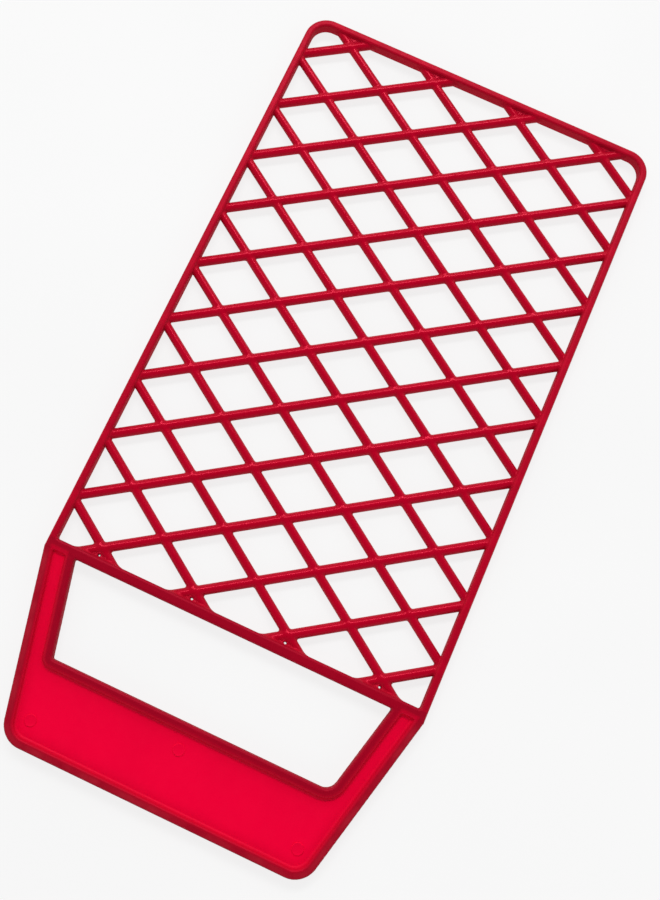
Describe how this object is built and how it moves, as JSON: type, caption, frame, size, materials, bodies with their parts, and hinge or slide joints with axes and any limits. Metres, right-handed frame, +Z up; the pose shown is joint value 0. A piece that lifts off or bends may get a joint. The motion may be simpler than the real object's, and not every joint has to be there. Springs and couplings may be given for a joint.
{
  "type": "fly swatter",
  "caption": "Flat moulded plastic fly swatter: a rectangular diamond-lattice head in a deep narrow frame, and a tapered grip with a hand opening.",
  "frame": {"origin": "on the ground, under the middle of the swatter's bounding box as it lies flat", "axes": "+Y along the swatter from the grip to the head's top rail, +Z up out of the broad face, X across the head"},
  "size_m": [0.121, 0.2446, 0.005],
  "materials": {
    "frame": "glossy translucent red, dark where it is deep",
    "rising_bars": "glossy translucent red",
    "falling_bars": "glossy translucent red",
    "webs": "glossy translucent red",
    "panel": "satin translucent red, bright where it is thin",
    "pads": "satin translucent red",
    "rims": "glossy translucent red, dark where it is deep"
  },
  "bodies": {
    "root": {"top_rail": "frame", "top_left_corner": "frame", "top_right_corner": "frame", "left_rail": "frame", "right_rail": "frame", "crossbar": "frame", "rising_bar_01": "rising_bars", "rising_bar_02": "rising_bars", "rising_bar_03": "rising_bars", "rising_bar_04": "rising_bars", "rising_bar_05": "rising_bars", "rising_bar_06": "rising_bars", "rising_bar_07": "rising_bars", "rising_bar_08": "rising_bars", "rising_bar_09": "rising_bars", "rising_bar_10": "rising_bars", "rising_bar_11": "rising_bars", "rising_bar_12": "rising_bars", "rising_bar_13": "rising_bars", "falling_bar_01": "falling_bars", "falling_bar_02": "falling_bars", "falling_bar_03": "falling_bars", "falling_bar_04": "falling_bars", "falling_bar_05": "falling_bars", "falling_bar_06": "falling_bars", "falling_bar_07": "falling_bars", "falling_bar_08": "falling_bars", "falling_bar_09": "falling_bars", "falling_bar_10": "falling_bars", "falling_bar_11": "falling_bars", "falling_bar_12": "falling_bars", "falling_bar_13": "falling_bars", "top_rail_webs": "webs", "crossbar_webs": "webs", "palm_panel": "panel", "left_arm_panel": "panel", "right_arm_panel": "panel", "ejector_pads": "pads", "left_arm_rim": "rims", "right_arm_rim": "rims", "left_grip_corner": "rims", "right_grip_corner": "rims", "grip_end_rim": "rims", "left_opening_rim": "rims", "right_opening_rim": "rims", "left_opening_corner": "rims", "right_opening_corner": "rims", "palm_opening_rim": "rims"}
  },
  "joints": []
}
